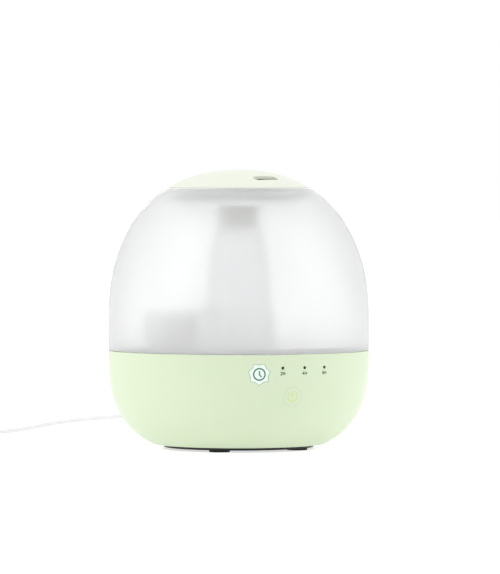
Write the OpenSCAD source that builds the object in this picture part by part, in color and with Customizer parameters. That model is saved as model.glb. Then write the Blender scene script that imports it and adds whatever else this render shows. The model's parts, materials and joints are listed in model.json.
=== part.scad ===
// Globe-shaped cool mist humidifier. A clear tank with a pale lid stands on a bowl-shaped base.
// The lid lifts off so that the tank is filled from the top, and the tank lifts off the base.
// Millimetres, +Z up, front toward -Y, origin at the middle of the plane the feet stand on.

/* [Body outline] */
// Largest radius of the body, at the tank's straight band
body_r = 95; // [94:0.5:97]
// Height of the whole body, feet to the top of the lid
body_h = 203; // [202:0.5:205]
// Height of the joint between base and tank
seam_z = 72; // [71.8:0.1:72.2]
// Height where the tank's dome begins to curve inward
shoulder_z = 95; // [90:1:98]
// Fullness of the dome: 2 is an ellipse, more is squarer
dome_power = 2.25; // [2.2:0.01:2.3]
// Height where the base's bowl begins to curve inward
waist_z = 73.3; // [73:0.1:74]
// Depth of the curve that the bowl follows below the waist
bowl_depth = 78.6; // [78:0.1:79]
// Fullness of the bowl: 2 is an ellipse, more is squarer
bowl_power = 2.9; // [2.85:0.01:2.95]
// Wall thickness of the base and the tank
wall = 2.4; // [2.2:0.1:2.5]

/* [Lid and mist outlet] */
// Distance from the top of the lid down to its lower edge
lid_drop = 13; // [12.5:0.1:13.5]
// Wall thickness of the lid's cover
lid_wall = 2; // [1.8:0.1:2.2]
// Radius of the tank's filling mouth
mouth_r = 48; // [47.9:0.1:48.2]
// Distance of the mist slot from the middle of the lid
slot_reach = 36; // [34:0.5:36]
// Length and width of the mist slot
slot_size = [20, 7];
// Direction that the mist slot points, from the front toward +X
slot_turn = 8; // [-180:1:180]
// Inner radius of the tube that carries mist through the lid
duct_r = 10.8; // [10.4:0.1:10.8]

/* [Controls] */
// Height of the timer key's middle
timer_z = 58; // [57:0.5:58]
// Direction of the timer key, from the front toward +X
timer_turn = -15.6; // [-16:0.1:-15]
// Radius of the seven-pointed timer key at its tips and at its notches
timer_star = [8.1, 6.5];
// Height of the power key's middle
power_z = 41.7; // [41:0.1:42]
// Radius of the power key
power_r = 7; // [6:0.1:7]
// Height of the row of indicator lights
lamp_z = 62.3; // [62:0.1:62.4]
// Angle from one indicator light to the next, and from the front to the first
lamp_step = 10.4; // [10:0.1:10.4]
// Travel of both keys
key_travel = 0.8; // [0.5:0.1:0.8]

/* [Cord] */
// Diameter of the power cord
cord_d = 3.4; // [3.2:0.1:3.4]
// Turns of the stored coil that lie beside each other in one layer
coil_turns = 5; // [4:1:5]
// Radius of the coil's outermost turn, at the middle of the cord
coil_r = 26.5; // [26:0.1:27]

/* [Hidden] */
$fn = 64;
cut = 1;                       // how far a cutting solid runs past the face that it cuts
foot_h = 1.5;                  // thickness of the rubber feet
base_z = 3.6;                  // lowest edge of the base's bowl
base_floor = 2;                // thickness of the flange inside that edge
seam_gap = 0.2;                // half the gap between base and tank
tank_top = body_h - lid_drop - 1;
lid_z = body_h - lid_drop;
screw_r = 1.2;                 // shank radius of every screw
pilot_r = 1.3;                 // bore that a screw goes into
clear_r = 1.6;                 // hole that a screw passes through
foot_at = [30.8, 34.2];        // the feet and cover screws stand at plus and minus this in X and Y
foot_r = 7.5;                  // radius of the rubber feet
cover_r = 54.5;                // radius of the bottom cover
flange_r = 49;                 // inner radius of the flange that the bottom cover is screwed to
fan_x = -33;                   // middle of the fan
duct_x = -47;                  // middle of the air duct and the riser above it
well_x = 18;                   // middle of the basin's well
valve_x = 45;                  // middle of the tank's valve
float_at = [20, -30];          // middle of the water level float
tray_z = [68, 70];             // lower and upper face of the basin tray's deck
well_z = [44, 46];             // lower and upper face of the well's floor
tank_floor_z = [73, 75.5];     // lower and upper face of the tank's floor
chamber_r = [25, 23];          // outer and inner radius of the mist chamber's round ends
chamber_z = [97, 99];          // lower and upper face of the mist chamber's roof
jack_z = 22;                   // height of the power jack's middle
board_y = [-80, -78.4];        // front and back face of the control board
driver_z = [14.4, 16];         // lower and upper face of the driver board
driver_at = [[6, 24], [6, -24], [38, 24], [38, -24]];
panel_posts = [[-26, 37], [26, 37], [26, 52]];
clamp_screw_r = 15;            // radius of the circle of screws around the transducer
fan_ear_r = 29.5;              // distance of the fan's ears from its middle
switch_depth = 8.7;            // depth of both switches' faces below the bowl's surface

// Colours
pale_green = [0.86, 0.92, 0.76];
lid_green = [0.95, 0.97, 0.90];
frosted = [0.92, 0.93, 0.94, 0.45];
clear_white = [0.90, 0.92, 0.93, 0.6];
mint = [0.92, 0.98, 0.95];
off_white = [0.93, 0.93, 0.91];
dark_grey = [0.12, 0.12, 0.13];
rubber_grey = [0.2, 0.2, 0.2];
board_green = [0.10, 0.38, 0.22];
steel = [0.75, 0.76, 0.78];
copper = [0.80, 0.50, 0.30];

// Route of the cord from its strain relief to the start of the coil. It leaves level toward the
// back, sinks to the surface, and swings round to the -X side.
lead_route = [
    [0, 112, 22], [0, 120, 22], [0, 128, 21.8], [-1, 137, 21.2], [-3, 146, 20.2],
    [-6.5, 155, 18.8], [-11, 164, 17.2], [-16.5, 172, 15.8], [-22.5, 179.5, 14.9],
    [-29, 186.5, 14], [-36, 193.5, 13.2], [-43.5, 200.5, 12], [-51, 208, 10.6],
    [-58.5, 215.5, 8.8], [-66, 223, 6.8], [-73.5, 230.5, 4.8], [-81.5, 238, 3],
    [-90, 245.5, 1.9], [-99, 251.3, 1.8], [-109, 255.9, 1.8], [-119.5, 258.7, 1.9],
    [-130, 259.5, 2.3]
];
// Route from the end of the coil to the plug
tail_route = [
    [-156.5, 233, 5.7], [-157, 224, 4.7], [-158.3, 215, 4.1], [-159.5, 207, 4], [-160, 200, 4],
    [-160, 196, 4]
];
coil_at = [-130, 233];
coil_low_z = 2.3;
plug_at = [-160, 196, 4];

// ---- Outline formulas -------------------------------------------------------------------------

// Both curves are superellipses. inset moves a curve in by a wall's thickness.
function dome_rise(inset) = body_h - shoulder_z - inset;
function dome_angle(z, inset) = asin(pow((z - shoulder_z) / dome_rise(inset), dome_power / 2));
function dome_point(a, inset) = [
    (body_r - inset) * pow(cos(a), 2 / dome_power),
    shoulder_z + dome_rise(inset) * pow(sin(a), 2 / dome_power)
];
function dome_arc(low, high, inset, steps) = [
    for (i = [0 : steps])
        let (start = dome_angle(low, inset), end = dome_angle(high, inset))
        dome_point(start + (end - start) * i / steps, inset)
];
function dome_z(r, inset) =
    shoulder_z + dome_rise(inset) * pow(1 - pow(r / (body_r - inset), dome_power), 1 / dome_power);

function bowl_angle(z, inset) = asin(pow((waist_z - z) / (bowl_depth - inset), bowl_power / 2));
function bowl_point(a, inset) = [
    (body_r - inset) * pow(cos(a), 2 / bowl_power),
    waist_z - (bowl_depth - inset) * pow(sin(a), 2 / bowl_power)
];
function bowl_arc(high, low, inset, steps) = [
    for (i = [0 : steps])
        let (start = bowl_angle(high, inset), end = bowl_angle(low, inset))
        bowl_point(start + (end - start) * i / steps, inset)
];
function bowl_r(z, inset) =
    (body_r - inset) * pow(1 - pow((waist_z - z) / (bowl_depth - inset), bowl_power), 1 / bowl_power);
// Angle by which the bowl's surface faces downward at a height
function bowl_tilt(z) =
    let (across = bowl_r(z, 0) / body_r, down = (waist_z - z) / bowl_depth)
    atan(pow(down, bowl_power - 1) / bowl_depth * body_r / pow(across, bowl_power - 1));

function backward(list) = [for (i = [len(list) - 1 : -1 : 0]) list[i]];
// Slot with round ends of radius r, whose end centres lie at x = a and x = b
function slot_points(a, b, r, steps = 16) = concat(
    [for (i = [0 : steps]) [b + r * cos(-90 + 180 * i / steps), r * sin(-90 + 180 * i / steps)]],
    [for (i = [0 : steps]) [a + r * cos(90 + 180 * i / steps), r * sin(90 + 180 * i / steps)]]
);
// Star with round notches, one tip straight down
function star_points(tip_r, notch_r, tips = 7, steps = 8) = [
    for (i = [0 : tips * steps - 1])
        let (a = 360 * i / (tips * steps), r = tip_r - (tip_r - notch_r) * abs(sin(tips * a / 2)))
        [r * cos(a - 90), r * sin(a - 90)]
];

// ---- Building blocks --------------------------------------------------------------------------

module rod(r, low, high) {
    translate([0, 0, low]) cylinder(r = r, h = high - low);
}

module tube(outer, inner, low, high) {
    difference() {
        rod(outer, low, high);
        rod(inner, low - cut, high + cut);
    }
}

// Rod along +Y at the jack's height
module rod_y(r, from, to) {
    translate([0, from, jack_z]) rotate([-90, 0, 0]) cylinder(r = r, h = to - from);
}

module screw(head_r, head_low, head_high, tip) {
    rod(head_r, head_low, head_high);
    rod(screw_r, min(tip, head_low), max(tip, head_high));
}

// Puts children on the bowl's surface with their +Z pointing straight out of it
module on_bowl(turn, z) {
    rotate([0, 0, turn])
        translate([0, -bowl_r(z, 0), z])
            rotate([90 + bowl_tilt(z), 0, 0])
                children();
}

module bowl_solid(inset) {
    rotate_extrude($fn = 240)
        polygon(concat([[0, base_z]], [[0, seam_z - seam_gap]],
                       bowl_arc(seam_z - seam_gap, base_z, inset, 16)));
}

module at_corners() {
    for (x = [-1, 1], y = [-1, 1]) translate([x * foot_at[0], y * foot_at[1], 0]) children();
}

module at_points(points) {
    for (p = points) translate([p[0], p[1], 0]) children();
}

module at_clamp_screws() {
    for (a = [0, 120, 240]) rotate([0, 0, a]) translate([clamp_screw_r, 0, 0]) children();
}

module at_fan_ears() {
    for (a = [-60, 0, 60])
        translate([fan_x, 0, 0]) rotate([0, 0, a]) translate([fan_ear_r, 0, 0]) children();
}

module at_lamps() {
    for (i = [-0.5, 0.5, 1.5]) rotate([0, 0, i * lamp_step]) children();
}

module timer_outline(gap) {
    polygon(star_points(timer_star[0] + gap, timer_star[1] + gap));
}

// ---- Base -------------------------------------------------------------------------------------

module base_wall() {
    rotate_extrude()
        polygon(concat(
            bowl_arc(seam_z - seam_gap, base_z, 0, 18),
            [[flange_r, base_z], [flange_r, base_z + base_floor]],
            backward(bowl_arc(tray_z[0] - 1.2, base_z + base_floor, wall, 16)),
            [[89.5, tray_z[0] - 1.2], [89.5, tray_z[0]], [body_r - wall, tray_z[0]],
             [body_r - wall, seam_z - seam_gap]]
        ));
}

module base_shell() {
    color(pale_green)
    difference() {
        union() {
            base_wall();
            at_corners() {
                rod(8, base_z + 0.3, base_z + base_floor - 0.3);
                rod(4, base_z, 14);
            }
            intersection() {
                bowl_solid(wall / 2);
                union() {
                    rod_y(9.6, 71.5, body_r);
                    for (p = panel_posts)
                        translate([p[0], board_y[0], p[1]]) rotate([90, 0, 0]) cylinder(r = 2.6, h = 20);
                }
            }
        }
        rod_y(8, 73.5, body_r + cut);
        rod_y(4.1, 71.5 - cut, 74);
        at_corners() rod(pilot_r, base_z - cut, 13);
        for (p = panel_posts)
            translate([p[0], board_y[0] + cut, p[1]]) rotate([90, 0, 0]) cylinder(r = pilot_r, h = 5 + cut);
        on_bowl(timer_turn, timer_z)
            translate([0, 0, -6]) linear_extrude(height = 9) timer_outline(0.25);
        on_bowl(0, power_z) rod(power_r + 0.2, -6, 3);
        at_lamps()
            translate([0, -82, lamp_z]) rotate([90, 0, 0]) cylinder(r = 1.15, h = 16);
    }
}

module intake_slots() {
    for (x = [-10 : 5 : 10])
        let (half = sqrt(14 * 14 - x * x))
        translate([fan_x + x - 1.5, -half, foot_h - cut]) cube([3, 2 * half, 3 + 2 * cut]);
}

module bottom_cover() {
    color(dark_grey)
    difference() {
        union() {
            rod(cover_r, foot_h, base_z);
            at_points(driver_at) rod(2.5, base_z, driver_z[0]);
            translate([fan_x, 0, 0]) tube(15.5, 14.2, base_z, 5.8);
            at_fan_ears() rod(3, base_z, 5.8);
        }
        intake_slots();
        at_corners() {
            rod(3.3, foot_h - cut, 2.9);
            rod(clear_r, foot_h, base_z + cut);
        }
        at_points(driver_at) rod(pilot_r, 5, driver_z[0] + cut);
        at_fan_ears() rod(pilot_r, 4, 5.8 + cut);
    }
}

module rubber_feet() {
    color(rubber_grey) at_corners() rod(foot_r, 0, foot_h);
}

module cover_screws() {
    color(steel) at_corners() screw(3, 1.6, 2.9, 11);
}

module dc_jack() {
    color(dark_grey) {
        difference() {
            union() {
                translate([-6, 58, jack_z - 5.5]) cube([12, 13.5, 11]);
                rod_y(4, 71.4, 73.5);
            }
            rod_y(3, 61, 74);
        }
        rod_y(1, 60.5, 72);
    }
}

// ---- Basin ------------------------------------------------------------------------------------

module basin_tray() {
    color(off_white)
    difference() {
        union() {
            difference() {
                rod(92.2, tray_z[0], tray_z[1]);
                translate([well_x, 0, 0]) rod(50, tray_z[0] - cut, tray_z[1] + cut);
                translate([duct_x, 0, 0]) rod(12, tray_z[0] - cut, tray_z[1] + cut);
            }
            translate([well_x, 0, 0]) {
                tube(51, 49, well_z[0], tray_z[1]);
                rod(50, well_z[0], well_z[1]);
            }
            translate([duct_x, 0, 0]) tube(13.2, 11.6, 58, 92);
            tube(17.6, 16, well_z[1] - 0.5, 62);
            at_clamp_screws() rod(2.4, 41.5, well_z[0] + 0.5);
            translate([float_at[0], float_at[1], 0]) rod(2.9, well_z[1] - 0.5, 66.3);
            translate([valve_x, 0, 0]) rod(3, well_z[1] - 0.5, 51.7);
        }
        rod(8.2, well_z[0] - cut, well_z[1] + cut);
        at_clamp_screws() rod(pilot_r, 41.5 - cut, well_z[0]);
        for (a = [45 : 90 : 315])
            rotate([0, 0, a]) translate([14, -3, well_z[1]]) cube([6, 6, 8]);
    }
}

module transducer_disc() {
    color(steel) rod(10, 42.3, 43.5);
}

module transducer_seal() {
    color(rubber_grey)
    rotate_extrude()
        polygon([
            [8, 41.5], [12.5, 41.5], [12.5, 44], [8, 44],
            [8, 43.5], [10, 43.5], [10, 42.3], [8, 42.3]
        ]);
}

module transducer_clamp() {
    color(steel)
    difference() {
        rod(18, 39.5, 41.5);
        rod(8.5, 39.5 - cut, 41.5 + cut);
        at_clamp_screws() rod(clear_r, 39.5 - cut, 41.5 + cut);
    }
}

module clamp_screws() {
    color(steel) at_clamp_screws() screw(2.4, 37.8, 39.5, 43.8);
}

module level_sensor() {
    color(board_green)
    translate([float_at[0] - 5, float_at[1] - 3, 42]) cube([10, 6, well_z[0] - 42]);
}

module float_clip() {
    color(off_white) translate([float_at[0], float_at[1], 0]) tube(4.6, 2.9, 65, 66.3);
}

module float_ring() {
    color("white")
    translate([float_at[0], float_at[1], 0])
        rotate_extrude()
            polygon([[3.3, 49], [6, 49], [6, 46.5], [9.2, 46.5], [10, 47.3], [10, 55.7], [9.2, 56.5],
                     [3.3, 56.5]]);
}

module float_magnet() {
    color(dark_grey) translate([float_at[0], float_at[1], 0]) tube(6, 3.6, 46.5, 49);
}

// ---- Fan --------------------------------------------------------------------------------------

module fan_housing() {
    color(dark_grey)
    difference() {
        union() {
            translate([fan_x, 0, 0]) {
                tube(27, 25.5, 5.8, 24.5);
                tube(26, 14, 5.8, 7.3);
            }
            at_fan_ears() rod(3.5, 5.8, 12);
        }
        translate([fan_x, 0, 0]) rod(25.5, 7.3, 24);
        at_fan_ears() rod(clear_r, 5.8 - cut, 12 + cut);
    }
}

module fan_lid() {
    color(dark_grey)
    difference() {
        translate([fan_x, 0, 0]) rod(27, 24.5, 26);
        translate([duct_x, 0, 0]) rod(11, 24.5 - cut, 26 + cut);
    }
}

module fan_motor() {
    color(steel)
    translate([fan_x, 0, 0])
        difference() {
            rod(7.5, 21.8, 24.5);
            rod(1.08, 21.8 - cut, 24.2);
        }
}

module fan_shaft() {
    color(steel) translate([fan_x, 0, 0]) rod(1, 12, 24);
}

module fan_impeller() {
    color("white")
    translate([fan_x, 0, 0])
        difference() {
            union() {
                rod(4, 12, 21.2);
                rod(22, 20, 21.2);
                tube(22, 20.5, 9, 10.2);
                for (a = [0 : 30 : 330])
                    rotate([0, 0, a]) translate([12.5, 0, 9]) rotate([0, 0, 25]) cube([9.6, 1.2, 11.5]);
            }
            rod(1, 11, 23);
        }
}

module fan_screws() {
    color(steel) at_fan_ears() screw(2.4, 12, 13.4, 4.4);
}

module air_duct() {
    color(off_white) translate([duct_x, 0, 0]) tube(13.2, 11.6, 26, 58);
}

// ---- Electronics ------------------------------------------------------------------------------

module driver_board() {
    color(board_green)
    difference() {
        translate([2, -28, driver_z[0]]) cube([44, 56, driver_z[1] - driver_z[0]]);
        at_points(driver_at) rod(clear_r, driver_z[0] - cut, driver_z[1] + cut);
    }
}

module board_screws() {
    color(steel) at_points(driver_at) screw(2.4, driver_z[1], driver_z[1] + 1.4, 6);
}

module heat_sink() {
    color(steel)
    translate([30, -16, driver_z[1]]) {
        cube([12, 14, 2]);
        for (i = [0 : 3]) translate([i * 3.5, 0, 0]) cube([1.5, 14, 12]);
    }
}

module board_components() {
    color(copper) translate([14, 12, 0]) rod(6, driver_z[1], 25);
    color(dark_grey) {
        at_points([[12, -4], [12, -14], [30, 20]]) rod(4, driver_z[1], 28);
        translate([26, 2, driver_z[1]]) cube([10, 8, 5]);
        translate([20, -24, driver_z[1]]) cube([8, 6, 7]);
    }
}

module control_board() {
    color(board_green)
    difference() {
        translate([-31, board_y[0], 33]) cube([62, board_y[1] - board_y[0], 33]);
        for (p = panel_posts)
            translate([p[0], board_y[1] + cut, p[1]]) rotate([90, 0, 0]) cylinder(r = clear_r, h = 4);
    }
}

module panel_screws() {
    color(steel)
    for (p = panel_posts)
        translate([p[0], board_y[1], p[1]]) rotate([90, 0, 0]) screw(2.4, -1.4, 0, 5.5);
}

module tact_switches() {
    color(dark_grey) {
        translate([-26.3, -82.2, 54.8]) cube([6, 2.2, 6]);
        translate([-3, -83.6, 40.4]) cube([6, 3.6, 6]);
    }
}

module status_leds() {
    color([0.95, 0.9, 0.6])
    for (i = [-0.5, 0.5, 1.5])
        translate([80.5 * tan(i * lamp_step) - 0.8, board_y[0] - 0.9, lamp_z - 0.4]) cube([1.6, 0.9, 0.8]);
}

module light_pipes() {
    color(dark_grey)
    at_lamps()
        translate([0, -84.8, lamp_z]) rotate([90, 0, 0]) cylinder(r = 1.1, h = bowl_r(lamp_z, 0) - 84.85);
}

// ---- Keys -------------------------------------------------------------------------------------

// Flange and stem behind each key. The stem stops one travel short of its switch.
module key_back(rim_r) {
    rod(rim_r, -5.2, -3.6);
    rod(2, key_travel - switch_depth, -4);
}

module timer_button() {
    color(mint)
    intersection() {
        bowl_solid(0);
        on_bowl(timer_turn, timer_z) {
            translate([0, 0, -5]) linear_extrude(height = 8) timer_outline(0);
            key_back(8.4);
        }
    }
}

module power_button() {
    color(pale_green)
    intersection() {
        bowl_solid(0);
        on_bowl(0, power_z) {
            rod(power_r, -5, 3);
            key_back(8.4);
        }
    }
}

// ---- Tank -------------------------------------------------------------------------------------

module tank_shell() {
    neck_r = mouth_r + 2;
    neck_low = tank_top - 8;
    color(frosted)
    rotate_extrude()
        polygon(concat(
            [[body_r, seam_z + seam_gap]],
            dome_arc(shoulder_z, tank_top, 0, 22),
            [[mouth_r, tank_top], [mouth_r, neck_low], [neck_r, neck_low]],
            backward(dome_arc(shoulder_z, dome_z(neck_r, wall), wall, 22)),
            [[body_r - wall, seam_z + seam_gap]]
        ));
}

module chamber_outline(r) {
    polygon(slot_points(duct_x, 0, r));
}

module tank_floor() {
    color(clear_white)
    difference() {
        union() {
            rod(body_r - wall, tank_floor_z[0], tank_floor_z[1]);
            tube(88, 86, tray_z[1] + 0.1, tank_floor_z[0] + 0.5);
            translate([0, 0, tank_floor_z[0]])
                linear_extrude(height = chamber_z[1] - tank_floor_z[0]) chamber_outline(chamber_r[0]);
            translate([valve_x, 0, 0]) rod(14.5, 64, tank_floor_z[1]);
        }
        translate([0, 0, tank_floor_z[0] - cut])
            linear_extrude(height = chamber_z[0] - tank_floor_z[0] + cut) chamber_outline(chamber_r[1]);
        rod(22.5, chamber_z[0] - cut, chamber_z[1] + cut);
        translate([valve_x, 0, 0]) rod(13, 64 - cut, tank_floor_z[1] + cut);
    }
}

module mist_chimney() {
    top_z = tank_top - 11;
    color(clear_white)
    rotate_extrude()
        polygon([[22.5, chamber_z[1]], [24.3, chamber_z[1]], [15.5, top_z], [13.9, top_z]]);
}

// ---- Valve ------------------------------------------------------------------------------------

module valve_cap() {
    color(off_white)
    translate([valve_x, 0, 0]) {
        tube(17, 14.7, 60.5, 71.5);
        tube(15, 5.5, 60.5, 62.5);
    }
}

module valve_gasket() {
    color(rubber_grey) translate([valve_x, 0, 0]) tube(14.6, 12, 62.5, 64);
}

module valve_cage() {
    color(off_white)
    translate([valve_x, 0, 0])
        difference() {
            union() {
                tube(13, 10.5, 71, 72.8);
                rod(6, 71, 72.8);
                for (a = [0, 120, 240])
                    rotate([0, 0, a]) translate([5, -1, 71]) cube([6.5, 2, 1.8]);
            }
            rod(2.1, 71 - cut, 72.8 + cut);
        }
}

module valve_spring() {
    turns = 3;
    color(steel)
    translate([valve_x, 0, 0])
        sweep([for (a = [0 : 30 : 360 * turns]) [4.6 * cos(a), 4.6 * sin(a), 66 + 4.5 * a / (360 * turns)]],
              0.35, 8);
}

module valve_stem() {
    color(steel)
    translate([valve_x, 0, 0]) {
        rod(1.8, 52, 73);
        rod(7, 64, 65.5);
    }
}

module valve_disc() {
    color(rubber_grey) translate([valve_x, 0, 0]) tube(8, 1.8, 62.5, 64);
}

// ---- Lid --------------------------------------------------------------------------------------

// Heights in the lid are counted down from its lower edge
module lid_plate() {
    color(off_white)
    rotate_extrude()
        polygon([
            [12.65, lid_z - 5.2], [15, lid_z - 5.2], [15, lid_z - 3.5], [47.2, lid_z - 3.5],
            [47.2, lid_z - 0.9], [50.6, lid_z - 0.9], [50.6, lid_z - 0.1], [45.5, lid_z - 0.1],
            [45.5, lid_z - 1.5], [12.65, lid_z - 1.5]
        ]);
}

// Ring that reaches down into the tank's mouth, with a groove for the seal
module lid_skirt() {
    color(off_white)
    rotate_extrude()
        polygon([
            [45, lid_z - 13], [47.2, lid_z - 13], [47.2, lid_z - 8.5], [46, lid_z - 8.5],
            [46, lid_z - 6], [47.2, lid_z - 6], [47.2, lid_z - 3.5], [45, lid_z - 3.5]
        ]);
}

module lid_seal() {
    color(rubber_grey) tube(mouth_r - 0.15, 46, lid_z - 8.5, lid_z - 6);
}

module slot_prism(low, high) {
    end_x = (slot_size[0] - slot_size[1]) / 2;
    rotate([0, 0, slot_turn])
        translate([0, -slot_reach, low])
            linear_extrude(height = high - low)
                polygon(slot_points(-end_x, end_x, slot_size[1] / 2));
}

module lid_cover() {
    color(lid_green)
    difference() {
        rotate_extrude()
            polygon(concat(
                dome_arc(lid_z, body_h, 0, 14),
                backward(dome_arc(lid_z, body_h - lid_wall, lid_wall, 14))
            ));
        slot_prism(lid_z - cut, body_h);
    }
}

module channel_outline(r) {
    rotate([0, 0, slot_turn - 90]) polygon(slot_points(0, 31, r));
}

// Ball whose top follows the underside of the cover, a little below it
module under_cover() {
    top = body_h - lid_wall - 0.1;
    ball_r = 110;
    translate([0, 0, top - ball_r]) sphere(r = ball_r, $fn = 160);
}

module mist_duct() {
    color(lid_green)
    difference() {
        union() {
            rod(duct_r + 1.6, lid_z - 30, lid_z + 0.4);
            rod(13.8, lid_z - 7.4, lid_z - 5.9);
            intersection() {
                translate([0, 0, lid_z - 0.8])
                    linear_extrude(height = lid_drop) channel_outline(duct_r + 2.2);
                under_cover();
            }
        }
        rod(duct_r, lid_z - 30 - cut, lid_z + 0.5);
        translate([0, 0, lid_z + 0.4]) linear_extrude(height = lid_drop) channel_outline(duct_r + 0.6);
    }
}

// ---- Cord -------------------------------------------------------------------------------------

function unit(v) = v / norm(v);
function heading(p, i) = unit(p[min(i + 1, len(p) - 1)] - p[max(i - 1, 0)]);
function ring(at, along, r, sides) =
    let (side = unit(cross(along, [0, 0, 1])), up = cross(side, along))
    [for (k = [0 : sides - 1]) at + r * (cos(360 * k / sides) * side + sin(360 * k / sides) * up)];

// Round bar of radius r along a list of points
module sweep(path, r, sides) {
    last = len(path) - 1;
    points = [for (i = [0 : last]) each ring(path[i], heading(path, i), r, sides)];
    walls = [
        for (i = [0 : last - 1], k = [0 : sides - 1])
            let (next = (k + 1) % sides)
            [i * sides + k, i * sides + next, (i + 1) * sides + next, (i + 1) * sides + k]
    ];
    start = [[for (k = [sides - 1 : -1 : 0]) k]];
    end = [[for (k = [0 : sides - 1]) last * sides + k]];
    polyhedron(points, concat(walls, start, end), convexity = 4);
}

module cord_lead() {
    color("white") sweep(lead_route, cord_d / 2, 8);
}

module cord_tail() {
    color("white") sweep(tail_route, cord_d / 2, 8);
}

module cord_coil() {
    inner = coil_r - (coil_turns - 1) * cord_d;
    low = coil_low_z - cord_d / 2;
    color("white")
    translate([coil_at[0], coil_at[1], 0])
        tube(coil_r + cord_d / 2, inner - cord_d / 2, low, low + 2 * cord_d);
}

module cord_tie() {
    outer = coil_r + cord_d / 2;
    inner = coil_r - (coil_turns - 0.5) * cord_d;
    color(dark_grey)
    translate([coil_at[0], coil_at[1], 0])
        difference() {
            translate([-3, -outer - 0.8, 0]) cube([6, outer - inner + 2.1, 8]);
            translate([-3 - cut, -outer - 0.05, 0.55]) cube([6 + 2 * cut, outer - inner + 0.6, 6.9]);
        }
}

module dc_plug_barrel() {
    color(steel)
    difference() {
        rod_y(2.75, 62, 74.3);
        rod_y(1.25, 62 - cut, 73.5);
    }
}

module dc_plug() {
    color("white")
    translate([0, 0, jack_z]) rotate([-90, 0, 0])
        rotate_extrude()
            polygon([[0, 74.3], [4.8, 74.3], [5.4, 75], [5.4, 94], [4.8, 96], [3.4, 96.5], [2.2, 112],
                     [0, 112]]);
}

module usb_plug_grip() {
    color("white")
    translate(plug_at) {
        rotate([90, 0, 0]) rotate_extrude() polygon([[0, 0], [2.1, 0], [3, 8], [3, 9], [0, 9]]);
        translate([-7.5, -30, -4]) cube([15, 22, 8]);
    }
}

module usb_plug_shell() {
    color(steel)
    translate(plug_at)
        difference() {
            translate([-6, -42, -2.25]) cube([12, 12, 4.5]);
            translate([-5.7, -42 - cut, -1.95]) cube([11.4, 11 + cut, 3.9]);
        }
}

base_shell();
bottom_cover();
rubber_feet();
cover_screws();
basin_tray();
transducer_disc();
transducer_seal();
transducer_clamp();
clamp_screws();
level_sensor();
float_clip();
fan_housing();
fan_lid();
fan_motor();
fan_screws();
air_duct();
driver_board();
heat_sink();
board_components();
board_screws();
control_board();
panel_screws();
tact_switches();
status_leds();
light_pipes();
dc_jack();
dc_plug_barrel();
dc_plug();
cord_lead();
cord_coil();
cord_tail();
cord_tie();
usb_plug_grip();
usb_plug_shell();
timer_button();
power_button();
float_ring();
float_magnet();
fan_impeller();
fan_shaft();
tank_shell();
tank_floor();
mist_chimney();
valve_cap();
valve_gasket();
valve_cage();
valve_spring();
valve_stem();
valve_disc();
lid_plate();
lid_skirt();
lid_seal();
lid_cover();
mist_duct();
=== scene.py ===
"""Looks of the cool mist humidifier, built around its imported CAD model. Metres, +Z up, front -Y."""
import json
import math

import bmesh
import bpy
from mathutils import Matrix, Vector


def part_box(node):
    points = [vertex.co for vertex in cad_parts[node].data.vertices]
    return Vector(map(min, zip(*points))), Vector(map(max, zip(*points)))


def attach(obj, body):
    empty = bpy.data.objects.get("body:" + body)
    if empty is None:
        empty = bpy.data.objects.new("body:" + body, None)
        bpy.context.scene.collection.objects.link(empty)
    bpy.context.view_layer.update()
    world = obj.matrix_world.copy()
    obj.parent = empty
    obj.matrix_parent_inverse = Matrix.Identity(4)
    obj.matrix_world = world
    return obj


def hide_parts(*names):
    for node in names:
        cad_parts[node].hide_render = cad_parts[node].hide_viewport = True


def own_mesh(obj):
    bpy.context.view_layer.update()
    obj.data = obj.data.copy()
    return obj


MM = 0.001

# ---- The frame ----------------------------------------------------------------------------------

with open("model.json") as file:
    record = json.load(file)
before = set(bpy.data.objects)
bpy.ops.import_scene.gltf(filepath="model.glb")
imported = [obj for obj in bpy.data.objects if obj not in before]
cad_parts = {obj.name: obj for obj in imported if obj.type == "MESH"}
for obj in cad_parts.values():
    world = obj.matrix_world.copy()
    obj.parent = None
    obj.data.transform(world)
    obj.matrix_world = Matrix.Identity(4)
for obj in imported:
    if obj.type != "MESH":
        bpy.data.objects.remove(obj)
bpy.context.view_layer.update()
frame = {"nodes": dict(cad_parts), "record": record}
nodes = frame["nodes"]

tank_low, tank_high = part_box("tank_shell")
base_low, base_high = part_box("base_shell")
lid_low, lid_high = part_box("lid_cover")
jack_low, jack_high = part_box("dc_plug_barrel")

body_r = tank_high.x              # radius of the tank's straight band
body_h = lid_high.z               # top of the lid
shoulder_z = 95 * MM              # the dome begins to curve here
dome_power = 2.25
waist_z = 73.3 * MM               # the bowl begins to curve here
bowl_depth = 78.6 * MM
bowl_power = 2.9
wall = 2.4 * MM                   # of the tank and of the base
flange_r = 49 * MM                # inner edge of the base's bottom flange
ledge_depth = 3.8 * MM            # of the ledge inside the base's rim
lid_wall = 2 * MM
mouth_r = 48 * MM                 # the tank's mouth
slot_reach = 36 * MM              # from the lid's middle to the middle of the mist outlet
slot_turn = math.radians(8)
slot_half = (10 * MM, 3.5 * MM)   # half the outlet's length and width
jack_z = (jack_low.z + jack_high.z) / 2
jack_face = 73.5 * MM             # from the middle of the base to the jack's face
jack_recess_r = 8 * MM
jack_hole_r = 4.1 * MM
timer_turn, timer_z = math.radians(-15.6), 58 * MM
power_turn, power_z = 0.0, 41.7 * MM
star_tip, star_notch, star_tips = 8.1 * MM, 6.5 * MM, 7
power_r = 7 * MM
key_depth = 5 * MM
timer_gap, power_gap, lamp_gap = 0.22 * MM, 0.06 * MM, 0.08 * MM    # holes, over what is in them
lamp_step, lamp_z = math.radians(10.4), 62.3 * MM
lamp_turns = [i * lamp_step for i in (-0.5, 0.5, 1.5)]
lamp_r = 1.1 * MM
label_z, label_height, label_stroke = 58.4 * MM, 2.1 * MM, 0.5 * MM
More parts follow.
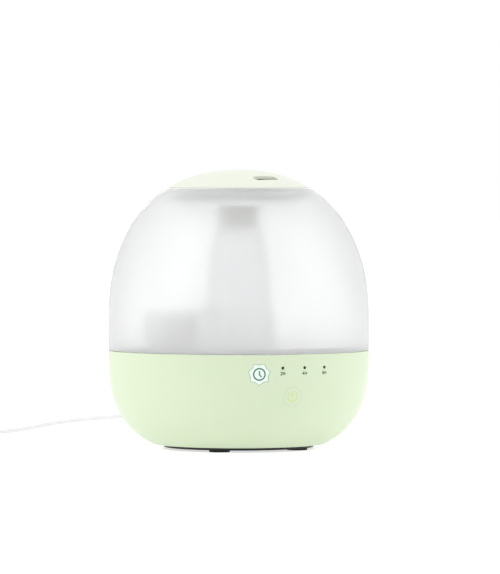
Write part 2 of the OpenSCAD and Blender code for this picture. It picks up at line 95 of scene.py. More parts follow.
valve_x = 45 * MM                 # middle of the tank's valve

# Puts +Z on the jack's axis, pointing backwards
jack_frame = Matrix.Translation((0, 0, jack_z)) @ Matrix.Rotation(math.radians(-90), 4, "X")

# Brightness of the studio, over its general level of 1, overhead and on the camera's side
sky_level = 0.3
camera_side_level = -0.55


# ---- Camera, light and stage --------------------------------------------------------------------

def make_camera():
    """Long lens a little above the tank's shoulder, turned to the object's left front."""
    turn = math.radians(-24.5)
    right = Vector((math.cos(turn), math.sin(turn), 0))
    away = Vector((-math.sin(turn), math.cos(turn), 0))
    distance, height = 3.52, 0.2065
    aim = right * 0.0082 + Vector((0, 0, 0.1177))
    data = bpy.data.cameras.new("camera")
    data.lens = 303
    data.sensor_width = 36
    camera = bpy.data.objects.new("camera", data)
    bpy.context.collection.objects.link(camera)
    camera.location = Vector((0, 0, height)) - away * distance
    camera.rotation_euler = (aim - camera.location).to_track_quat("-Z", "Y").to_euler()
    bpy.context.scene.camera = camera


def add_softbox(name, turn, elevation, distance, size, watts):
    """Rectangular soft light that looks at the middle of the object."""
    data = bpy.data.lights.new(name, "AREA")
    data.shape = "RECTANGLE"
    data.size, data.size_y = size
    data.energy = watts
    light = bpy.data.objects.new(name, data)
    bpy.context.collection.objects.link(light)
    a, e = math.radians(turn), math.radians(elevation)
    where = Vector((math.sin(a) * math.cos(e), -math.cos(a) * math.cos(e), math.sin(e)))
    light.location = where * distance + Vector((0, 0, 0.1))
    light.rotation_euler = (-where).to_track_quat("-Z", "Y").to_euler()


def make_light():
    """White studio, brighter overhead and dimmer on the camera's side, with a soft box at each side."""
    world = bpy.data.worlds.new("studio")
    bpy.context.scene.world = world
    world.use_nodes = True
    tree = world.node_tree
    direction = tree.nodes.new("ShaderNodeTexCoord").outputs["Generated"]
    previous = None
    for axis, level in (((0.0, 0.0, 1.0), sky_level), ((-0.415, -0.910, 0.0), camera_side_level)):
        along = tree.nodes.new("ShaderNodeVectorMath")
        along.operation = "DOT_PRODUCT"
        along.inputs[1].default_value = axis
        tree.links.new(direction, along.inputs[0])
        facing = tree.nodes.new("ShaderNodeClamp")
        tree.links.new(along.outputs["Value"], facing.inputs["Value"])
        add = tree.nodes.new("ShaderNodeMath")
        add.operation = "MULTIPLY_ADD"
        add.inputs[1].default_value = level
        add.inputs[2].default_value = 1.0
        tree.links.new(facing.outputs["Result"], add.inputs[0])
        if previous:
            tree.links.new(previous, add.inputs[2])
        previous = add.outputs["Value"]
    back = tree.nodes["Background"]
    back.inputs["Color"].default_value = (1, 1, 1, 1)
    tree.links.new(previous, back.inputs["Strength"])
    add_softbox("left_softbox", -80, 30, 1.6, (0.9, 1.2), 9)
    add_softbox("right_softbox", 50, 25, 1.6, (0.8, 1.2), 6.5)
    add_softbox("top_softbox", 0, 80, 1.6, (1.2, 1.2), 2)
    bpy.context.scene.view_settings.view_transform = "Standard"


def make_floor():
    mesh = bpy.data.meshes.new("floor")
    half = 12
    mesh.from_pydata([(-half, -half, 0), (half, -half, 0), (half, half, 0), (-half, half, 0)],
                     [], [(0, 1, 2, 3)])
    floor = bpy.data.objects.new("floor", mesh)
    bpy.context.collection.objects.link(floor)
    material = bpy.data.materials.new("floor_white")
    material.use_nodes = True
    shader = material.node_tree.nodes["Principled BSDF"]
    shader.inputs["Base Color"].default_value = (0.6, 0.6, 0.6, 1)
    shader.inputs["Roughness"].default_value = 0.9
    shader.inputs["Specular IOR Level"].default_value = 0.1
    shader.inputs["Emission Color"].default_value = (1, 1, 1, 1)
    shader.inputs["Emission Strength"].default_value = 0.66
    mesh.materials.append(material)


# ---- Materials ----------------------------------------------------------------------------------

def new_material(name):
    material = bpy.data.materials.new(name)
    material.use_nodes = True
    return material, material.node_tree, material.node_tree.nodes["Principled BSDF"]


def add_noise(tree, scale, detail=3.0):
    place = tree.nodes.new("ShaderNodeTexCoord")
    noise = tree.nodes.new("ShaderNodeTexNoise")
    noise.inputs["Scale"].default_value = scale
    noise.inputs["Detail"].default_value = detail
    tree.links.new(place.outputs["Object"], noise.inputs["Vector"])
    return noise.outputs["Fac"]


def vary_colour(tree, shader, colour, spread, scale):
    """Soft cloudy change of brightness around a colour."""
    mix = tree.nodes.new("ShaderNodeMix")
    mix.data_type = "RGBA"
    mix.inputs["A"].default_value = (*[max(0, c - spread) for c in colour], 1)
    mix.inputs["B"].default_value = (*[min(1, c + spread) for c in colour], 1)
    tree.links.new(add_noise(tree, scale), mix.inputs["Factor"])
    tree.links.new(mix.outputs["Result"], shader.inputs["Base Color"])


def vary_roughness(tree, shader, low, high, scale):
    span = tree.nodes.new("ShaderNodeMapRange")
    span.inputs["To Min"].default_value = low
    span.inputs["To Max"].default_value = high
    tree.links.new(add_noise(tree, scale), span.inputs["Value"])
    tree.links.new(span.outputs["Result"], shader.inputs["Roughness"])


def add_bump(tree, shader, scale, depth):
    bump = tree.nodes.new("ShaderNodeBump")
    bump.inputs["Strength"].default_value = 1.0
    bump.inputs["Distance"].default_value = depth
    tree.links.new(add_noise(tree, scale, detail=2.0), bump.inputs["Height"])
    tree.links.new(bump.outputs["Normal"], shader.inputs["Normal"])


def plastic(name, colour, rough=(0.35, 0.45), spread=0.01, grain=1800, depth=0.00001, glow=0.0):
    """Moulded plastic with a fine spark-eroded grain."""
    material, tree, shader = new_material(name)
    vary_colour(tree, shader, colour, spread, 30)
    vary_roughness(tree, shader, *rough, 60)
    add_bump(tree, shader, grain, depth)
    if glow:
        shader.inputs["Subsurface Weight"].default_value = glow
        shader.inputs["Subsurface Radius"].default_value = (1.0, 1.0, 0.8)
        shader.inputs["Subsurface Scale"].default_value = 0.002
    return material


def frosted(name, colour, passed, rough, index):
    """Milky plastic that lets blurred shapes through."""
    material, tree, shader = new_material(name)
    vary_colour(tree, shader, colour, 0.01, 25)
    shader.inputs["Roughness"].default_value = rough
    shader.inputs["IOR"].default_value = index
    shader.inputs["Transmission Weight"].default_value = passed
    add_bump(tree, shader, 2500, 0.000006)
    return material


def metal(name, colour, rough):
    """Bare metal with a faint cloudiness."""
    material, tree, shader = new_material(name)
    vary_colour(tree, shader, colour, 0.03, 400)
    vary_roughness(tree, shader, rough - 0.06, rough + 0.06, 900)
    shader.inputs["Metallic"].default_value = 1.0
    return material


def circuit(name, colour):
    """Solder mask with a faint pattern of tracks beneath it."""
    material, tree, shader = new_material(name)
    place = tree.nodes.new("ShaderNodeTexCoord")
    tracks = tree.nodes.new("ShaderNodeTexBrick")
    tracks.inputs["Scale"].default_value = 160
    tracks.inputs["Mortar Size"].default_value = 0.03
    tracks.inputs["Color1"].default_value = (*colour, 1)
    tracks.inputs["Color2"].default_value = (*[c * 0.85 for c in colour], 1)
    tracks.inputs["Mortar"].default_value = (*[c * 1.6 for c in colour], 1)
    tree.links.new(place.outputs["Object"], tracks.inputs["Vector"])
    tree.links.new(tracks.outputs["Color"], shader.inputs["Base Color"])
    shader.inputs["Roughness"].default_value = 0.3
    return material


def make_materials():
    return {
        "pale_green_plastic": plastic("base_green", (0.54, 0.62, 0.45), (0.38, 0.46), glow=0.1),
        # The lid's green is paler than the base's green: painted top light, the lid drawn as if lit more
        # strongly from overhead.
        "lid_green_plastic": plastic("lid_green", (0.61, 0.64, 0.555), (0.38, 0.46), glow=0.1),
        "mint_key_plastic": plastic("key_mint", (0.65, 0.76, 0.69), (0.30, 0.38)),
        "frosted_tank_plastic": frosted("tank_frosted", (0.968, 0.971, 0.973), 0.82, 0.30, 1.3),
        "clear_inner_plastic": frosted("inner_clear", (0.99, 0.992, 0.995), 0.90, 0.35, 1.15),
        "milky_floor_plastic": frosted("floor_milky", (0.99, 0.992, 0.995), 0.86, 0.55, 1.12),
        "white_plastic": plastic("white_moulding", (0.86, 0.86, 0.85), (0.35, 0.45)),
        "cord_plastic": plastic("cord_white", (0.66, 0.66, 0.66), (0.40, 0.50), grain=1200),
        "dark_plastic": plastic("black_moulding", (0.006, 0.006, 0.007), (0.45, 0.6), 0.004, 1500, 0.00003),
        "lamp_plastic": plastic("lamp_body", (0.80, 0.75, 0.40), (0.2, 0.3)),
        "smoked_lens": plastic("lamp_lens", (0.012, 0.016, 0.012), (0.10, 0.18), 0.003, 400, 0.000002),
        "black_rubber": plastic("foot_rubber", (0.005, 0.005, 0.005), (0.7, 0.85), 0.004, 1200, 0.00004),
        # Mid-grey seal, darker than the white mouldings. Seen through the tank's neck it darkens the band
        # under the lid, so it is partly painted shade where the lid shades the neck.
        "clear_seal_rubber": plastic("seal_grey_and_painted_shade", (0.60, 0.61, 0.62), (0.4, 0.5)),
        "circuit_board": circuit("board_mask", (0.03, 0.20, 0.08)),
        "heat_sink_aluminium": metal("sink_aluminium", (0.72, 0.73, 0.75), 0.35),
        "transducer_steel": metal("disc_steel", (0.66, 0.67, 0.69), 0.25),
        "screw_steel": metal("screw_zinc", (0.62, 0.63, 0.66), 0.3),
        "plug_metal": metal("plug_nickel", (0.75, 0.76, 0.78), 0.22),
        "magnet_metal": metal("magnet_ferrite", (0.10, 0.10, 0.11), 0.5),
    }


def paint(piece, material):
    piece.data.materials.clear()
    piece.data.materials.append(material)


# ---- Outlines -----------------------------------------------------------------------------------

def spread(start, end, steps):
    return [start + (end - start) * i / steps for i in range(steps + 1)]


def dome_curve(low, high, inset, steps):
    """Points (radius, height) on the dome between two heights, a wall's thickness further in."""
    rise = body_h - shoulder_z - inset

    def angle(z):
        return math.asin(min(1.0, ((z - shoulder_z) / rise)) ** (dome_power / 2))

    return [((body_r - inset) * max(0.0, math.cos(a)) ** (2 / dome_power),
             shoulder_z + rise * math.sin(a) ** (2 / dome_power))
            for a in spread(angle(low), angle(high), steps)]


def bowl_curve(high, low, inset, steps):
    """Points (radius, height) on the bowl between two heights, a wall's thickness further in."""
    depth = bowl_depth - inset

    def angle(z):
        return math.asin(((waist_z - z) / depth) ** (bowl_power / 2))

    return [((body_r - inset) * math.cos(a) ** (2 / bowl_power),
             waist_z - depth * math.sin(a) ** (2 / bowl_power))
            for a in spread(angle(high), angle(low), steps)]


def dome_height(r, inset):
    """Height of the dome at a radius, a wall's thickness further in."""
    rise = body_h - shoulder_z - inset
    return shoulder_z + rise * (1 - (r / (body_r - inset)) ** dome_power) ** (1 / dome_power)


def bowl_radius(z):
    return body_r * (1 - ((waist_z - z) / bowl_depth) ** bowl_power) ** (1 / bowl_power)


def soften(points, steps=4):
    """Rounds the corners of a closed outline. A corner is (r, z, radius), any other point (r, z)."""
    out = []
    count = len(points)
    for i, p in enumerate(points):
        if len(p) == 2:
            out.append(p)
            continue
        here = Vector(p[:2])
        before = Vector(points[i - 1][:2]) - here
        after = Vector(points[(i + 1) % count][:2]) - here
        start = here + before.normalized() * min(p[2], before.length / 2)
        end = here + after.normalized() * min(p[2], after.length / 2)
        for t in spread(0.0, 1.0, steps):
            q = start * (1 - t) ** 2 + here * 2 * t * (1 - t) + end * t ** 2
            out.append((q.x, q.y))
    return out


# ---- Meshes -------------------------------------------------------------------------------------

def add_object(name, mesh, body, material, replaced=()):
    piece = bpy.data.objects.new(name, mesh)
    bpy.context.collection.objects.link(piece)
    paint(piece, material)
    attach(piece, body)
    if replaced:
        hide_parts(*replaced)
    return piece


def smooth(mesh, angle=35):
    mesh.shade_smooth()
    mesh.set_sharp_from_angle(angle=math.radians(angle))


def lathe(name, outline, segments=192, closed=True):
    """Turns an outline of (radius, height) points about Z. Points on the axis become poles."""
    verts, rings = [], []
    for r, z in outline:
        if r < 1e-6:
            rings.append([len(verts)] * segments)
            verts.append((0, 0, z))
            continue
        rings.append([len(verts) + k for k in range(segments)])
        verts += [(r * math.cos(2 * math.pi * k / segments), r * math.sin(2 * math.pi * k / segments), z)
                  for k in range(segments)]
    faces = []
    pairs = list(zip(rings, rings[1:] + rings[:1])) if closed else list(zip(rings, rings[1:]))
    for low, high in pairs:
        for k in range(segments):
            n = (k + 1) % segments
            face = []
            for v in (low[k], low[n], high[n], high[k]):
                if v not in face:
                    face.append(v)
            if len(face) > 2:
                faces.append(face)
    mesh = bpy.data.meshes.new(name)
    mesh.from_pydata(verts, [], faces)
    tidy_mesh(mesh)
    return mesh


def tidy_mesh(mesh):
    """Joins points that lie on each other and turns the faces outward."""
    work = bmesh.new()
    work.from_mesh(mesh)
    bmesh.ops.remove_doubles(work, verts=work.verts, dist=1e-7)
    bmesh.ops.recalc_face_normals(work, faces=work.faces)
    work.to_mesh(mesh)
    work.free()
    mesh.update()


def moved(mesh, matrix):
    mesh.transform(matrix)
    return mesh


def joined(name, meshes):
    work = bmesh.new()
    for mesh in meshes:
        work.from_mesh(mesh)
    out = bpy.data.meshes.new(name)
    work.to_mesh(out)
    work.free()
    return out


def cut(mesh, cutters):
    """The mesh with each cutter mesh taken out of it."""
    body = bpy.data.objects.new("cut_body", mesh)
    bpy.context.collection.objects.link(body)
    tools = []
    for i, cutter in enumerate(cutters):
        tool = bpy.data.objects.new(f"cut_tool_{i}", cutter)
        bpy.context.collection.objects.link(tool)
        step = body.modifiers.new(f"cut_{i}", "BOOLEAN")
        step.operation = "DIFFERENCE"
        step.solver = "EXACT"
        step.object = tool
        tools.append(tool)
    bpy.context.view_layer.update()
    made = body.evaluated_get(bpy.context.evaluated_depsgraph_get())
    result = bpy.data.meshes.new_from_object(made)
    for o in [body, *tools]:
        bpy.data.objects.remove(o)
    return result


def prism(name, outline, low, high):
    """Straight prism along Z over a flat outline of (x, y) points."""
    n = len(outline)
    verts = [(x, y, low) for x, y in outline] + [(x, y, high) for x, y in outline]
    faces = [(i, (i + 1) % n, n + (i + 1) % n, n + i) for i in range(n)]
    faces += [tuple(range(n - 1, -1, -1)), tuple(range(n, 2 * n))]
    mesh = bpy.data.meshes.new(name)
    mesh.from_pydata(verts, [], faces)
    tidy_mesh(mesh)
    return mesh


def circle(r, steps=96):
    return [(r * math.cos(2 * math.pi * i / steps), r * math.sin(2 * math.pi * i / steps))
            for i in range(steps)]


def star(grow=0.0, steps=16):
    """Seven tips and round notches, one tip straight down."""
    out = []
    for i in range(star_tips * steps):
        a = 2 * math.pi * i / (star_tips * steps)
        r = star_tip + grow - (star_tip - star_notch) * abs(math.sin(star_tips * a / 2))
        out.append((r * math.cos(a - math.pi / 2), r * math.sin(a - math.pi / 2)))
    return out


def slot_outline(half_length, half_width, steps=16):
    a = half_length - half_width
    right = [(a + half_width * math.cos(t), half_width * math.sin(t))
             for t in spread(-math.pi / 2, math.pi / 2, steps)]
    left = [(-a + half_width * math.cos(t), half_width * math.sin(t))
            for t in spread(math.pi / 2, 1.5 * math.pi, steps)]
    return right + left


# ---- Bowl surface -------------------------------------------------------------------------------

def bowl_normal(p):
    """Outward direction of the bowl's surface next to a point."""
    across = max(math.hypot(p.x, p.y), 1e-9)
    out = (across / body_r) ** (bowl_power - 1) / body_r
    down = (max(0.0, waist_z - p.z) / bowl_depth) ** (bowl_power - 1) / bowl_depth
    return Vector((p.x / across * out, p.y / across * out, -down)).normalized()


def bowl_frame(turn, z):
    """Matrix that puts +Z on the bowl's outward normal and +Y up along its surface."""
    r = bowl_radius(z)
    at = Vector((r * math.sin(turn), -r * math.cos(turn), z))
    out = bowl_normal(at)
    side = Vector((math.cos(turn), math.sin(turn), 0))
    up = out.cross(side)
    return Matrix.Translation(at) @ Matrix((side, up, out)).transposed().to_4x4()


def onto_bowl(place, x, y, lift=0.0):
    """Point over (x, y) of a bowl_frame, slid along its normal to the bowl's surface."""
    along = (place.to_3x3() @ Vector((0, 0, 1))).normalized()
    p = place @ Vector((x, y, 0))
    for _ in range(6):
        gap = math.hypot(p.x, p.y) - bowl_radius(min(p.z, waist_z - 1e-6))
        slope = along.x * p.x / math.hypot(p.x, p.y) + along.y * p.y / math.hypot(p.x, p.y)
        p = p - along * gap / max(slope, 0.2)
    return p + along * lift


def key_mesh(name, place, outline, depth, rounding=0.35 * MM):
    """Key whose face follows the bowl. Its rim is rounded, and its side runs straight in."""
    rings = [(t, 0.0) for t in (0.0, 0.2, 0.4, 0.6, 0.75, 0.86, 0.93)]
    reach = sum(math.hypot(x, y) for x, y in outline) / len(outline)
    for a in spread(0, 90, 5)[1:]:
        inward = rounding * (1 - math.sin(math.radians(a)))
        rings.append((1 - inward / reach, -rounding * (1 - math.cos(math.radians(a)))))
    verts, faces = [onto_bowl(place, 0, 0)], []
    n = len(outline)
    for share, lift in rings[1:]:
        verts += [onto_bowl(place, x * share, y * share, lift) for x, y in outline]
    back = [place @ Vector((x, y, -depth)) for x, y in outline]
    verts += back + [place @ Vector((0, 0, -depth))]
    faces += [(0, 1 + i, 1 + (i + 1) % n) for i in range(n)]
    for k in range(len(rings) - 1):
        a, b = 1 + k * n, 1 + (k + 1) * n
        faces += [(a + i, b + i, b + (i + 1) % n, a + (i + 1) % n) for i in range(n)]
    last = 1 + (len(rings) - 1) * n
    faces += [(last + (i + 1) % n, last + i, len(verts) - 1) for i in range(n)]
    mesh = bpy.data.meshes.new(name)
    mesh.from_pydata([tuple(v) for v in verts], [], faces)
    tidy_mesh(mesh)
    return mesh


def follow_bowl(mesh):
    """Gives the faces that lie on the bowl's outside its exact normals, so that cuts leave no trace."""
    smooth(mesh, 30)
    normals = [tuple(c.vector) for c in mesh.corner_normals]
    for face in mesh.polygons:
        exact = bowl_normal(face.center)
        radial = math.hypot(face.center.x, face.center.y)
        z = face.center.z
        if not (base_low.z < z < waist_z) or exact.dot(face.normal) < 0.97:
            continue
        if abs(radial - bowl_radius(z)) > 0.25 * MM:
            continue
        for loop in face.loop_indices:
            point = mesh.vertices[mesh.loops[loop].vertex_index].co
            if abs(math.hypot(point.x, point.y) - bowl_radius(min(point.z, waist_z - 1e-6))) < 0.05 * MM:
                normals[loop] = tuple(bowl_normal(point))
    mesh.normals_split_custom_set(normals)


# ---- Pieces: base -------------------------------------------------------------------------------

def make_base(materials):
    top, bottom = base_high.z, base_low.z
    outer = bowl_curve(top - 0.6 * MM, bottom + 0.5 * MM, 0, 72)
    inner = bowl_curve(top - ledge_depth, bottom + 2 * MM, wall, 40)
    outline = soften(
        [(body_r - 0.35 * MM, top)] + outer
        + [(outer[-1][0] - 1.2 * MM, bottom, 0.6 * MM), (flange_r, bottom, 0.2 * MM),
           (flange_r, bottom + 2 * MM, 0.2 * MM)]
        + inner[::-1]
        + [(body_r - wall, top - ledge_depth + 0.1 * MM), (body_r - wall + 0.2 * MM, top)]
    )
    mesh = lathe("base_bowl", outline, 256)
    reach = 6 * MM
    cutters = []
    place = bowl_frame(timer_turn, timer_z)
    cutters.append(moved(prism("timer_hole", star(timer_gap), -reach, reach), place))
    place = bowl_frame(power_turn, power_z)
    cutters.append(moved(prism("power_hole", circle(power_r + power_gap), -reach, reach), place))
    for turn in lamp_turns:
        place = bowl_frame(turn, lamp_z)
        cutters.append(moved(prism("lamp_hole", circle(lamp_r + lamp_gap, 32), -reach, reach), place))
    cutters.append(moved(prism("jack_hole", circle(jack_recess_r), 60 * MM, 120 * MM), jack_frame))
    mesh = cut(mesh, cutters)
    follow_bowl(mesh)
    add_object("base_bowl", mesh, "base",
               materials["pale_green_plastic"], ["base_shell"])


def make_jack_pocket(materials):
    """Recess around the power jack, with its floor."""
    deep, wide = jack_face, jack_recess_r
    rim = bowl_radius(jack_z) - 0.4 * MM
    outline = soften([(wide, rim), (wide + 1.4 * MM, rim - 1.5 * MM), (wide + 1.6 * MM, deep - 2 * MM),
                      (jack_hole_r, deep - 2 * MM), (jack_hole_r, deep, 0.3 * MM), (wide, deep, 0.5 * MM)])
    mesh = lathe("jack_pocket", outline, 64)
    moved(mesh, jack_frame)
    smooth(mesh)
    add_object("jack_pocket", mesh, "base", materials["pale_green_plastic"])


def make_keys(materials):
    place = bowl_frame(timer_turn, timer_z)
    mesh = key_mesh("timer_key", place, star(), key_depth)
    smooth(mesh, 50)
    add_object("timer_key_face", mesh, "timer_key",
               materials["mint_key_plastic"], ["timer_button"])
    place = bowl_frame(power_turn, power_z)
    mesh = key_mesh("power_key", place, circle(power_r), key_depth, 0.08 * MM)
    smooth(mesh, 50)
    add_object("power_key_face", mesh, "power_key",
               materials["pale_green_plastic"], ["power_button"])


def make_lamps(materials):
    """Three small domed lenses, each with a body behind it."""
    meshes = []
    for turn in lamp_turns:
        outline = soften([(0, 0.02 * MM), (lamp_r * 0.6, 0), (lamp_r, -0.06 * MM, 0.05 * MM),
                          (lamp_r, -9.5 * MM, 0.1 * MM), (0, -9.5 * MM)])
        lens = lathe("lamp_lens", outline, 32, closed=False)
        meshes.append(moved(lens, bowl_frame(turn, lamp_z)))
    mesh = joined("lamp_lenses", meshes)
    smooth(mesh, 40)
    add_object("lamp_lenses", mesh, "base", materials["smoked_lens"], ["light_pipes"])


# ---- Prints -------------------------------------------------------------------------------------

def print_mesh(name, place, strips, lift=0.03 * MM):
    """Thin ink on the bowl. Each strip is a list of cross lines, each a pair of (x, y) points."""
    verts, faces = [], []
    for strip in strips:
        start = len(verts)
        for a, b in strip:
            verts += [onto_bowl(place, *a, lift), onto_bowl(place, *b, lift)]
        faces += [(start + 2 * k, start + 2 * k + 1, start + 2 * k + 3, start + 2 * k + 2)
                  for k in range(len(strip) - 1)]
    mesh = bpy.data.meshes.new(name)
    mesh.from_pydata([tuple(v) for v in verts], [], faces)
    mesh.shade_smooth()
    return mesh


def arc_strip(cx, cy, r, width, start, end, steps=48):
    out = []
    for a in spread(math.radians(start), math.radians(end), steps):
        c, s = math.cos(a), math.sin(a)
        out.append(((cx + (r - width / 2) * c, cy + (r - width / 2) * s),
                    (cx + (r + width / 2) * c, cy + (r + width / 2) * s)))
    return out


def bar_strip(x0, y0, x1, y1, width, steps=3):
    along = Vector((x1 - x0, y1 - y0)).normalized()
    side = Vector((-along.y, along.x)) * width / 2
    out = []
    for t in spread(0.0, 1.0, steps):
        x, y = x0 + (x1 - x0) * t, y0 + (y1 - y0) * t
        out.append(((x - side.x, y - side.y), (x + side.x, y + side.y)))
    return out


# Strokes of the label characters on a grid one unit high, as lists of (x, y) points
GLYPHS = {
    "2": [[(0.0, 0.82), (0.1, 0.96), (0.3, 1.0), (0.5, 0.96), (0.6, 0.82), (0.58, 0.62), (0.3, 0.3),
           (0.0, 0.0), (0.62, 0.0)]],
    "4": [[(0.45, 0.0), (0.45, 1.0), (0.0, 0.3), (0.65, 0.3)]],
    "8": [[(0.3, 0.54), (0.08, 0.66), (0.06, 0.86), (0.3, 1.0), (0.54, 0.86), (0.52, 0.66), (0.3, 0.54),
           (0.04, 0.38), (0.04, 0.12), (0.3, 0.0), (0.56, 0.12), (0.56, 0.38), (0.3, 0.54)]],
    "H": [[(0.0, 0.0), (0.0, 1.0)], [(0.0, 0.5), (0.6, 0.5)], [(0.6, 0.0), (0.6, 1.0)]],
}


def label_strips(text, height, stroke):
    """Strips for a short label, centred on the origin."""
    advance = 0.95 * height
    wide = advance * (len(text) - 1) + 0.62 * height
    strips = []
    for i, letter in enumerate(text):
        for line in GLYPHS[letter]:
            points = [(i * advance + x * height - wide / 2, (y - 0.5) * height) for x, y in line]
            for a, b in zip(points, points[1:]):
                strips.append(bar_strip(*a, *b, stroke, 1))
    return strips


def make_prints(materials):
    ink = plastic("ink_dark_green", (0.015, 0.06, 0.025), (0.4, 0.5), 0.005)
    teal = plastic("ink_teal", (0.035, 0.13, 0.10), (0.35, 0.45), 0.005)
    pale = plastic("ink_lime", (0.50, 0.64, 0.22), (0.35, 0.45), 0.01)
    place = bowl_frame(timer_turn, timer_z)
    ring, stroke = 4.1 * MM, 1.0 * MM
    clock = [arc_strip(0, 0, ring, stroke, 0, 360, 64),
             bar_strip(0.0, 2.4 * MM, 0.0, -0.4 * MM, 0.9 * MM),
             bar_strip(-0.1 * MM, 0.1 * MM, 1.5 * MM, -2.0 * MM, 0.9 * MM)]
    add_object("clock_symbol", print_mesh("clock_symbol", place, clock), "timer_key",
               teal)
    place = bowl_frame(power_turn, power_z)
    power = [arc_strip(0, 0, 3.6 * MM, 0.9 * MM, 125, 415, 48),
             bar_strip(0, 0.6 * MM, 0, 4.6 * MM, 0.9 * MM)]
    add_object("power_symbol", print_mesh("power_symbol", place, power), "power_key",
               pale)
    for turn, text in zip(lamp_turns, ("2H", "4H", "8H")):
        place = bowl_frame(turn, label_z)
        mesh = print_mesh(f"label_{text}", place, label_strips(text, label_height, label_stroke))
        add_object(f"label_{text}", mesh, "base", ink)


# ---- Pieces: tank and lid -----------------------------------------------------------------------

def make_tank(materials):
    low, top = tank_low.z, tank_high.z
    neck_r, neck_low = mouth_r + 2 * MM, top - 8 * MM
    outer = dome_curve(shoulder_z, top - 0.2 * MM, 0, 72)
    inner = dome_curve(shoulder_z, dome_height(neck_r, wall), wall, 60)
    outline = soften(
        [(body_r - wall, low, 0.3 * MM), (body_r, low, 0.5 * MM)] + outer
        + [(outer[-1][0] - 0.6 * MM, top, 0.3 * MM), (mouth_r, top, 0.8 * MM),
           (mouth_r, neck_low, 0.4 * MM), (neck_r, neck_low, 0.4 * MM)]
        + inner[::-1]
    )
    mesh = lathe("tank_wall", outline, 192)
    smooth(mesh, 30)
    add_object("tank_wall", mesh, "tank",
               materials["frosted_tank_plastic"], ["tank_shell"])


def helix(name, r, wire_r, low, high, turns, steps=36, sides=10):
    """A wire spring about the z axis, its middle line climbing from low to high."""
    count = turns * steps + 1
    points = []
    for i in range(count):
        a = 2 * math.pi * i / steps
        z = low + (high - low) * i / (count - 1)
        for j in range(sides):
            b = 2 * math.pi * j / sides
            reach = r + wire_r * math.cos(b)
            points.append((reach * math.cos(a), reach * math.sin(a), z + wire_r * math.sin(b)))
    faces = [tuple(range(sides))[::-1], tuple(range((count - 1) * sides, count * sides))]
    for i in range(count - 1):
        for j in range(sides):
            k = (j + 1) % sides
            faces.append((i * sides + j, i * sides + k, (i + 1) * sides + k, (i + 1) * sides + j))
    mesh = bpy.data.meshes.new(name)
    mesh.from_pydata(points, [], faces)
    tidy_mesh(mesh)
    return mesh


def make_valve_spring(materials):
    """The valve's spring hangs from its cage and is pressed up against it as the valve opens."""
    mesh = helix("valve_coil", 4.6 * MM, 0.35 * MM, 66 * MM, 70.5 * MM, 3)
    moved(mesh, Matrix.Translation((valve_x, 0, 0)))
    smooth(mesh, 50)
    spring = add_object("valve_coil", mesh, "tank", materials["screw_steel"],
                        ["valve_spring"])
    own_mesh(spring)


def make_lid(materials):
    low, top = lid_low.z, lid_high.z
    outer = dome_curve(low + 0.25 * MM, top, 0, 60)
    inner = dome_curve(low, top - lid_wall, lid_wall, 40)
    outline = soften([(inner[0][0], low, 0.3 * MM), (outer[0][0] - 0.1 * MM, low, 0.35 * MM)]
                     + outer[:-1] + [(0, top)])
    mesh = lathe("lid_dome", outline + [(0, top - lid_wall)] + inner[-2:0:-1], 192)
    place = Matrix.Rotation(slot_turn, 4, "Z") @ Matrix.Translation((0, -slot_reach, 0))
    slot = moved(prism("slot", slot_outline(*slot_half), low - 5 * MM, top + 5 * MM), place)
    mesh = cut(mesh, [slot])
    smooth(mesh, 30)
    add_object("lid_dome", mesh, "cover",
               materials["lid_green_plastic"], ["lid_cover"])


# ---- Cord ---------------------------------------------------------------------------------------

CORD_D = 3.4 * MM
COIL_AT = (-130 * MM, 233 * MM)
COIL_R = 26.5 * MM
COIL_LOW = 2.3 * MM
LEAD_ROUTE = [
    (0, 112, 22), (0, 120, 22), (0, 128, 21.8), (-1, 137, 21.2), (-3, 146, 20.2),
    (-6.5, 155, 18.8), (-11, 164, 17.2), (-16.5, 172, 15.8), (-22.5, 179.5, 14.9),
    (-29, 186.5, 14), (-36, 193.5, 13.2), (-43.5, 200.5, 12), (-51, 208, 10.6),
    (-58.5, 215.5, 8.8), (-66, 223, 6.8), (-73.5, 230.5, 4.8), (-81.5, 238, 3),
    (-90, 245.5, 1.9), (-99, 251.3, 1.8), (-109, 255.9, 1.8), (-119.5, 258.7, 1.9),
]
TAIL_ROUTE = [
    (-157, 224, 4.7), (-158.3, 215, 4.1), (-159.5, 207, 4), (-160, 200, 4), (-160, 196, 4),
]


def ease(value, low, high):
    """Smooth step from 0 to 1 as value goes from low to high."""
    t = min(1.0, max(0.0, (value - low) / (high - low)))
    return (1 - math.cos(math.pi * t)) / 2


def coil_points(steps=20):
    """Four turns inward on the surface, one that climbs, and three and a quarter outward on top."""
    out = []
    quarter = steps // 4
    for i in range(8 * steps + quarter + 1):
        turn, part = divmod(i, steps)
        a = 360 * part / steps
        step = ease(a, 220, 360)
        if turn < 4:
            r = COIL_R - CORD_D * (turn + step)
        else:
            r = COIL_R - CORD_D * (8 - turn - step)
        up = 0.0 if turn < 4 else 1.0 if turn > 4 else ease(a, 60, 200)
        t = math.radians(90 + a)
        out.append((COIL_AT[0] + r * math.cos(t), COIL_AT[1] + r * math.sin(t), COIL_LOW + CORD_D * up))
    return out


def cord_route():
    lead = [tuple(c * MM for c in p) for p in LEAD_ROUTE]
    tail = [tuple(c * MM for c in p) for p in TAIL_ROUTE]
    return lead + coil_points() + tail


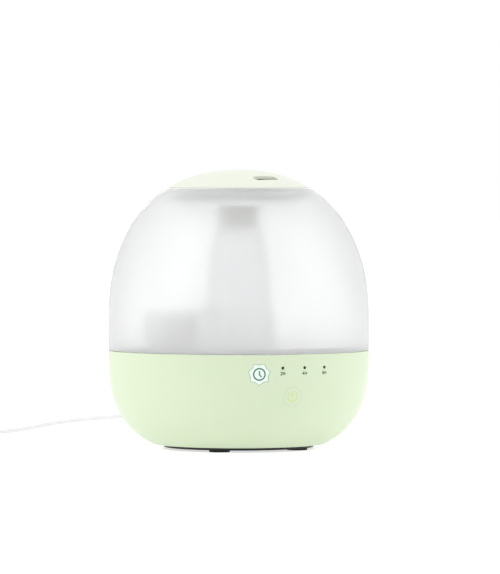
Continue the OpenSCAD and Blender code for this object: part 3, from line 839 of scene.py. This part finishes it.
def make_cord(materials):
    route = cord_route()
    length = sum((Vector(b) - Vector(a)).length for a, b in zip(route, route[1:]))
    data = bpy.data.curves.new("power_cord", "CURVE")
    data.dimensions = "3D"
    data.bevel_depth = CORD_D / 2
    data.bevel_resolution = 4
    data.resolution_u = 3
    data.use_fill_caps = True
    line = data.splines.new("BEZIER")
    line.bezier_points.add(len(route) - 1)
    for point, at in zip(line.bezier_points, route):
        point.co = at
        point.handle_left_type = point.handle_right_type = "AUTO"
    cord = bpy.data.objects.new("power_cord", data)
    bpy.context.collection.objects.link(cord)
    cord.data.materials.append(materials["cord_plastic"])
    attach(cord, "base")
    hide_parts("cord_lead", "cord_coil", "cord_tail")
    return cord, length


def make_dc_plug(materials):
    """Moulded grip with finger rings, and a relief of shrinking collars."""
    start, end = 74.3 * MM, 112 * MM
    outline = [(0, start), (4.6 * MM, start, 0.3 * MM), (5.4 * MM, start + 1.0 * MM, 0.6 * MM)]
    y = start + 3 * MM
    for _ in range(6):
        outline += [(5.4 * MM, y), (5.0 * MM, y + 0.4 * MM), (5.0 * MM, y + 1.2 * MM),
                    (5.4 * MM, y + 1.6 * MM)]
        y += 2.6 * MM
    outline += [(5.4 * MM, 94 * MM, 0.8 * MM), (4.2 * MM, 96 * MM, 0.8 * MM)]
    y, r = 97 * MM, 3.3 * MM
    while y < end - 2 * MM:
        outline += [(r, y, 0.3 * MM), (r, y + 1.4 * MM, 0.3 * MM), (r - 0.6 * MM, y + 1.6 * MM),
                    (r - 0.6 * MM, y + 2.3 * MM)]
        y += 2.4 * MM
        r -= 0.14 * MM
    outline += [(2.2 * MM, end - 0.4 * MM), (1.9 * MM, end), (0, end)]
    mesh = lathe("dc_plug_grip", soften(outline), 64, closed=False)
    moved(mesh, jack_frame)
    smooth(mesh, 40)
    return add_object("dc_plug_grip", mesh, "base", materials["cord_plastic"], ["dc_plug"])


# ---- Everything ---------------------------------------------------------------------------------

def paint_frame(materials):
    slots = {s["node"]: s["material_slot"] for s in frame["record"]["subparts"]}
    for name, node in nodes.items():
        for i in range(max(1, len(node.data.materials))):
            if len(node.data.materials) <= i:
                node.data.materials.append(materials[slots[name]])
            else:
                node.data.materials[i] = materials[slots[name]]


def main():
    make_camera()
    materials = make_materials()
    cord, length = make_cord(materials)
    plug = make_dc_plug(materials)
    make_light()
    make_floor()
    paint_frame(materials)
    make_base(materials)
    make_jack_pocket(materials)
    make_keys(materials)
    make_lamps(materials)
    make_prints(materials)
    make_tank(materials)
    make_valve_spring(materials)
    make_lid(materials)


main()
